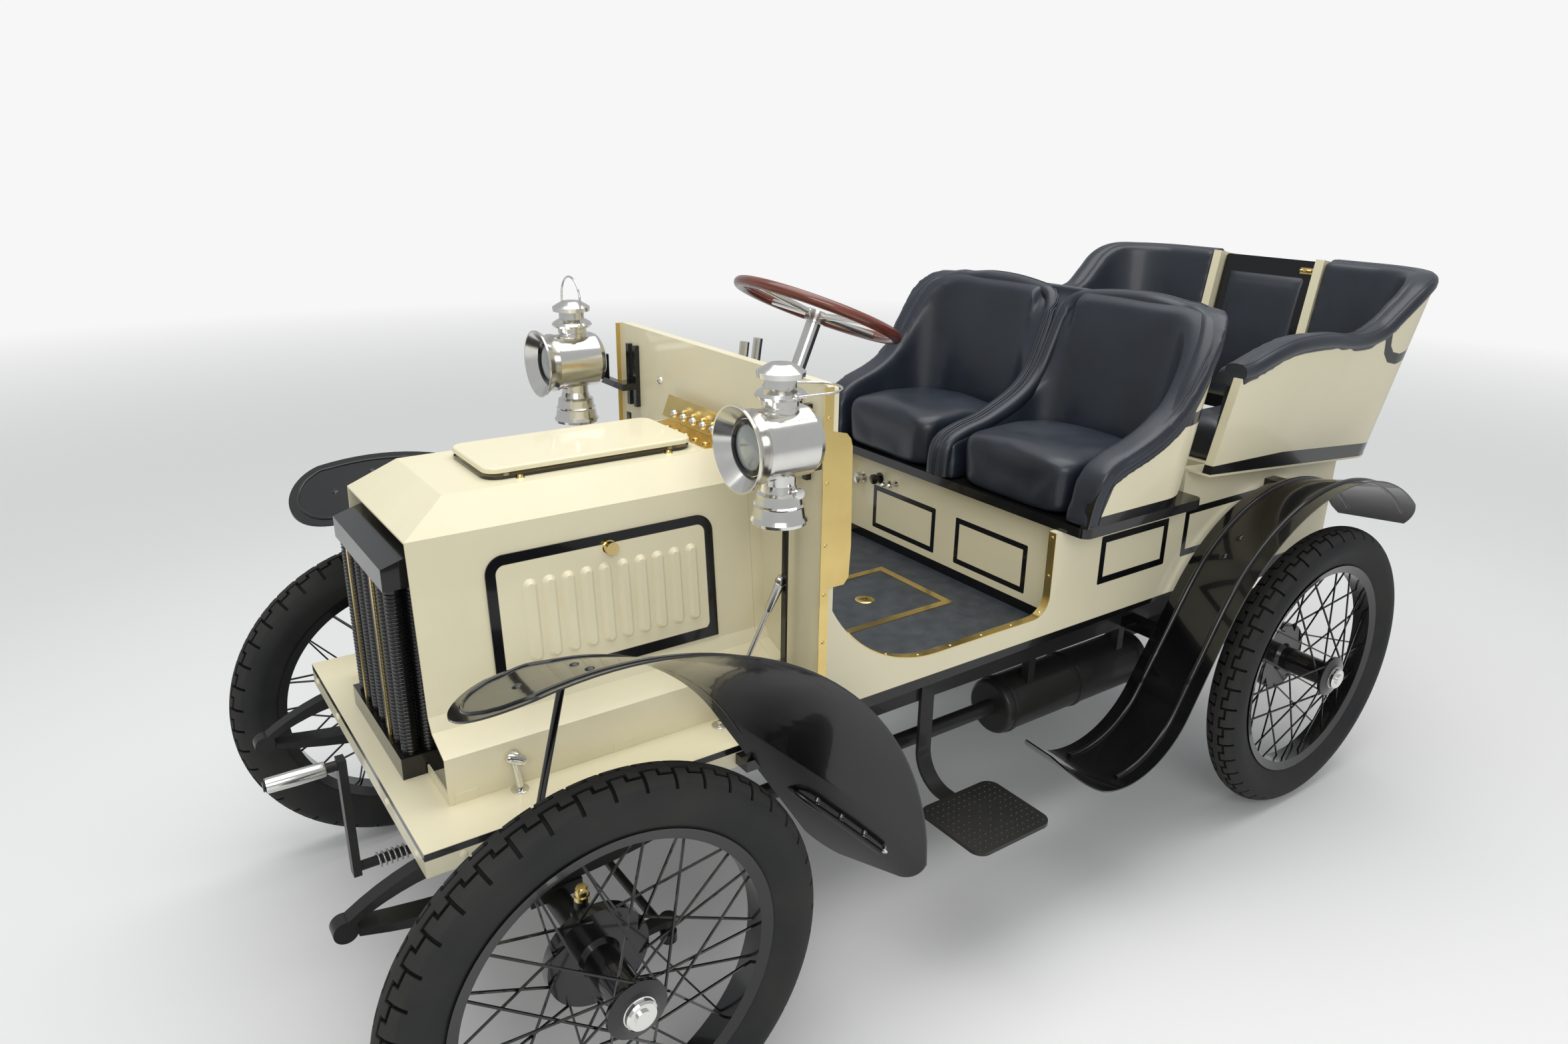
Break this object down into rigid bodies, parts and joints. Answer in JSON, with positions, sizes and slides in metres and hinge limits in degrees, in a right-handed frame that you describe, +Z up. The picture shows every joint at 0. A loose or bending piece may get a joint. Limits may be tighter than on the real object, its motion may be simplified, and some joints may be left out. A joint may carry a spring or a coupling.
{
  "type": "brass era car",
  "caption": "Open veteran motor car with wire wheels, louvred bonnet, bucket front seats and rear-entry tonneau; wheels, steering, bonnet flaps and rear door move.",
  "frame": {"origin": "on the ground, below the middle of the whole car's box", "axes": "-X is forwards, -Y is the car's left, +Z is up"},
  "size_m": [2.7097, 1.262, 1.2537],
  "materials": {
    "tyre_rubber": "matt black rubber",
    "black_enamel": "gloss black enamel",
    "cast_iron": "dull grey iron",
    "brass": "polished",
    "cream_metal": "gloss cream paint",
    "cream_wood": "cream paint over timber",
    "black_leather": "satin blue-black leather",
    "black_wood": "gloss black",
    "nickel": "polished nickel",
    "red_wood": "varnished"
  },
  "bodies": {
    "chassis": {"front_axle": "black_enamel", "rear_axle": "black_enamel", "frame": "black_enamel", "leaf_springs": "black_enamel", "silencer": "black_enamel", "steps": "black_enamel", "front_mudguards": "black_enamel", "rear_mudguards": "black_enamel", "lamp_brackets": "black_enamel", "pedals": "black_enamel", "starting_handle": "black_enamel", "engine": "cast_iron", "gearbox": "cast_iron", "radiator": "black_enamel", "radiator_straps": "brass", "oiler": "brass", "bonnet": "cream_metal", "bonnet_lid": "cream_metal", "deck": "cream_wood", "dash": "cream_wood", "body_sides": "cream_wood", "seat_box": "cream_wood", "front_seat_shell": "cream_wood", "tonneau_shell": "cream_wood", "tonneau_boxes": "cream_wood", "rear_panel": "cream_wood", "front_seat_leather": "black_leather", "front_cushions": "black_leather", "tonneau_leather": "black_leather", "tonneau_cushions": "black_leather", "front_seat_base": "black_wood", "floor": "black_wood", "side_lamps": "nickel", "hand_levers": "nickel", "steering_column": "nickel"},
    "knuckle_left": {"knuckle_left": "black_enamel"},
    "knuckle_right": {"knuckle_right": "black_enamel"},
    "track_rod": {"track_rod": "black_enamel"},
    "steering_wheel": {"steering_wheel": "red_wood"},
    "bonnet_door_left": {"bonnet_door_left": "cream_metal"},
    "bonnet_door_right": {"bonnet_door_right": "cream_metal"},
    "tonneau_door": {"tonneau_door": "black_leather"},
    "wheel_front_left": {"wheel_front_left": "black_enamel", "tyre_front_left": "tyre_rubber"},
    "wheel_front_right": {"wheel_front_right": "black_enamel", "tyre_front_right": "tyre_rubber"},
    "wheel_rear_left": {"wheel_rear_left": "black_enamel", "tyre_rear_left": "tyre_rubber"},
    "wheel_rear_right": {"wheel_rear_right": "black_enamel", "tyre_rear_right": "tyre_rubber"}
  },
  "joints": [
    {"name": "steer_left", "type": "hinge", "parent": "chassis", "child": "knuckle_left", "pos_m": [-0.99285, -0.425, 0.35], "axis": [0, 0, 1], "range_deg": [-20, 20]},
    {"name": "steer_right", "type": "hinge", "parent": "chassis", "child": "knuckle_right", "pos_m": [-0.99285, 0.425, 0.35], "axis": [0, 0, 1], "range_deg": [-20, 20]},
    {"name": "track_rod_left_eye", "type": "hinge", "parent": "knuckle_left", "child": "track_rod", "pos_m": [-0.84285, -0.425, 0.2765], "axis": [0, 0, 1], "range_deg": [-20, 20]},
    {"name": "steering_wheel_turn", "type": "hinge", "parent": "chassis", "child": "steering_wheel", "pos_m": [-0.10485, 0.2, 1.157], "axis": [0.3902, 0, 0.9207], "range_deg": [-80, 80]},
    {"name": "roll_front_left", "type": "hinge", "parent": "knuckle_left", "child": "wheel_front_left", "pos_m": [-0.99285, -0.543, 0.35], "axis": [0, -1, 0], "continuous": true},
    {"name": "roll_front_right", "type": "hinge", "parent": "knuckle_right", "child": "wheel_front_right", "pos_m": [-0.99285, 0.543, 0.35], "axis": [0, -1, 0], "continuous": true},
    {"name": "roll_rear_left", "type": "hinge", "parent": "chassis", "child": "wheel_rear_left", "pos_m": [0.83515, -0.543, 0.35], "axis": [0, -1, 0], "continuous": true},
    {"name": "roll_rear_right", "type": "hinge", "parent": "chassis", "child": "wheel_rear_right", "pos_m": [0.83515, 0.543, 0.35], "axis": [0, -1, 0], "continuous": true},
    {"name": "bonnet_door_left_drop", "type": "hinge", "parent": "chassis", "child": "bonnet_door_left", "pos_m": [-0.80985, -0.19383, 0.671], "axis": [1, 0, 0], "range_deg": [0, 45]},
    {"name": "bonnet_door_right_drop", "type": "hinge", "parent": "chassis", "child": "bonnet_door_right", "pos_m": [-0.80985, 0.19383, 0.671], "axis": [-1, 0, 0], "range_deg": [0, 45]},
    {"name": "tonneau_door_swing", "type": "hinge", "parent": "chassis", "child": "tonneau_door", "pos_m": [1.2721, -0.1375, 0.78946], "axis": [-0.1788, 0, -0.9839], "range_deg": [0, 95]}
  ],
  "couplings": [
    {"joint": "steer_right", "follows": "steer_left", "ratio": 1},
    {"joint": "track_rod_left_eye", "follows": "steer_left", "ratio": -1},
    {"joint": "steering_wheel_turn", "follows": "steer_left", "ratio": 4}
  ]
}
